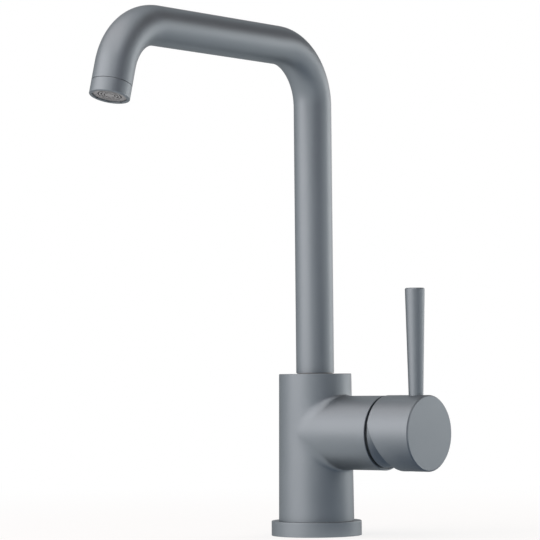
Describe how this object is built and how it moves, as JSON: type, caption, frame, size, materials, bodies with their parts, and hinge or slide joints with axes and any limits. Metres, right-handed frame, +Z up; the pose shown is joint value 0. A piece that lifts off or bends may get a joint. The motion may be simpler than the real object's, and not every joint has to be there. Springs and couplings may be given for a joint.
{
  "type": "kitchen tap",
  "caption": "Single-lever kitchen tap with a tall square swivel spout, an aerator, a side branch that holds the cartridge and a tipping lever, on a round foot.",
  "frame": {"origin": "centre of the foot's underside, on the worktop, on the riser's axis", "axes": "+Z up along the riser, spout towards -Y at rest, cartridge branch and lever towards +X"},
  "size_m": [0.1221, 0.2381, 0.333],
  "materials": {
    "tap_finish": "satin",
    "bare_brass": "satin",
    "steel": "satin",
    "disc_ceramic": "gloss",
    "cartridge_plastic": "matte",
    "carrier_plastic": "matte",
    "glide_plastic": "matte",
    "aerator_plastic": "satin",
    "seal_rubber": "matte",
    "plug_plastic": "satin"
  },
  "bodies": {
    "mixer": {"base_ring": "tap_finish", "base_seal": "seal_rubber", "mixer_body": "tap_finish", "upper_glide_ring": "glide_plastic", "spout_lock_screw": "steel", "cartridge_base": "cartridge_plastic", "cartridge_seals": "seal_rubber", "fixed_disc": "disc_ceramic", "cartridge_housing": "cartridge_plastic", "cartridge_nut": "bare_brass", "dome_collar": "tap_finish"},
    "spout": {"spout_tube": "tap_finish", "spout_spigot": "bare_brass", "spout_o_rings": "seal_rubber", "lower_glide_ring": "glide_plastic", "outlet_nipple": "bare_brass", "aerator_housing": "tap_finish", "aerator_insert": "aerator_plastic", "aerator_jet_body": "aerator_plastic", "aerator_screen": "steel", "aerator_gasket": "seal_rubber"},
    "rotor": {"lever_guide": "cartridge_plastic", "pivot_pin": "steel"},
    "lever": {"cartridge_stem": "steel", "lever_hub": "tap_finish", "lever_rod": "tap_finish", "hub_grub_screw": "steel", "hub_plug": "plug_plastic"},
    "valve": {"moving_disc": "disc_ceramic", "disc_carrier": "carrier_plastic"}
  },
  "joints": [
    {"name": "spout_swivel", "type": "hinge", "parent": "mixer", "child": "spout", "pos_m": [0, 0, 0.094], "axis": [0, 0, 1], "continuous": true},
    {"name": "lever_turn", "type": "hinge", "parent": "mixer", "child": "rotor", "pos_m": [0.05, 0, 0.0673], "axis": [1, 0, 0], "range_deg": [-50, 50]},
    {"name": "lever_lift", "type": "hinge", "parent": "rotor", "child": "lever", "pos_m": [0.05, 0, 0.0673], "axis": [0, 1, 0], "range_deg": [0, 25]},
    {"name": "disc_slide", "type": "slide", "parent": "rotor", "child": "valve", "axis": [0, 0, 1], "range_m": [0, 0.0044]}
  ],
  "couplings": [
    {"joint": "disc_slide", "follows": "lever_lift", "m_per_rad": 0.01}
  ]
}
